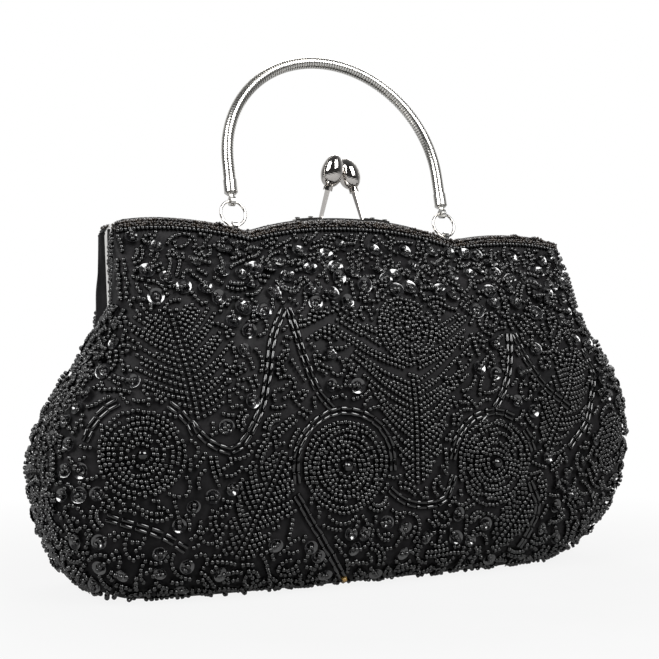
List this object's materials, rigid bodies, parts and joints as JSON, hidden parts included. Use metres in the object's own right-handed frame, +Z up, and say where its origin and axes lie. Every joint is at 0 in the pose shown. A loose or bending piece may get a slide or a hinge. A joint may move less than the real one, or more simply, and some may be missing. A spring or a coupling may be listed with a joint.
{
  "type": "evening clutch",
  "caption": "Soft beaded evening clutch with a wave-topped kiss-lock metal frame, twin egg-shaped clasp knobs and a ribbed chain arch handle.",
  "frame": {"origin": "middle of the box's underside, on the surface that the bag stands on", "axes": "+Z up, +X along the bag to the wearer's right when seen from the front, -Y out of the front"},
  "size_m": [0.2556, 0.0878, 0.219],
  "materials": {
    "beaded_fabric": "black satin covered with glossy black glass seed beads, bugle beads and sequins",
    "lining_satin": "plain black satin lining",
    "card": "stiff grey-brown board",
    "frame_nickel": "polished nickel plate",
    "clasp_nickel": "polished nickel plate",
    "rivet_nickel": "nickel-plated rivet",
    "handle_nickel": "polished nickel plate on ribbed chain",
    "core_steel": "plain drawn steel wire"
  },
  "bodies": {
    "bag": {"bag_body": "beaded_fabric", "rear_panel": "beaded_fabric", "lining": "lining_satin", "slip_pocket": "lining_satin", "base_board": "card", "rear_frame": "frame_nickel", "rear_cover": "beaded_fabric", "hinge_rivet_left": "rivet_nickel", "hinge_rivet_right": "rivet_nickel", "left_clasp_strip": "clasp_nickel", "left_clasp_rivets": "rivet_nickel", "left_lug": "frame_nickel", "right_lug": "frame_nickel"},
    "front_half": {"front_frame": "frame_nickel", "front_cover": "beaded_fabric", "front_panel": "beaded_fabric", "front_lining": "lining_satin", "right_clasp_strip": "clasp_nickel", "right_clasp_rivets": "rivet_nickel"},
    "left_knob": {"left_clasp_knob": "clasp_nickel"},
    "right_knob": {"right_clasp_knob": "clasp_nickel"},
    "left_ring_body": {"left_ring": "handle_nickel"},
    "right_ring_body": {"right_ring": "handle_nickel"},
    "handle": {"left_handle_cap": "handle_nickel", "right_handle_cap": "handle_nickel", "handle_core": "core_steel", "handle_chain": "handle_nickel"}
  },
  "joints": [
    {"name": "frame_open", "type": "hinge", "parent": "bag", "child": "front_half", "pos_m": [0, -0.0015, 0.098], "axis": [1, 0, 0], "range_deg": [0, 60], "deforming": ["front_panel", "front_lining"]},
    {"name": "left_clasp_flex", "type": "hinge", "parent": "bag", "child": "left_knob", "pos_m": [-0.0114, 0.0006, 0.14539], "axis": [0, -1, 0], "range_deg": [0, 4], "stiffness_Nm_per_rad": 0.5, "deforming": ["left_clasp_strip"]},
    {"name": "right_clasp_flex", "type": "hinge", "parent": "front_half", "child": "right_knob", "pos_m": [0.0064, -0.0036, 0.14561], "axis": [0, 1, 0], "range_deg": [0, 4], "stiffness_Nm_per_rad": 0.5, "deforming": ["right_clasp_strip"]},
    {"name": "left_ring_swing", "type": "hinge", "parent": "bag", "child": "left_ring_body", "pos_m": [-0.0498, 0.0006, 0.14113], "axis": [1, 0, 0], "range_deg": [-40, 55]},
    {"name": "right_ring_swing", "type": "hinge", "parent": "bag", "child": "right_ring_body", "pos_m": [0.0498, 0.0006, 0.14113], "axis": [1, 0, 0], "range_deg": [-40, 55]},
    {"name": "handle_swing", "type": "hinge", "parent": "left_ring_body", "child": "handle", "pos_m": [-0.0498, 0.00334, 0.15137], "axis": [1, 0, 0], "range_deg": [-35, 50]}
  ],
  "couplings": [
    {"joint": "right_ring_swing", "follows": "left_ring_swing", "ratio": 1}
  ]
}
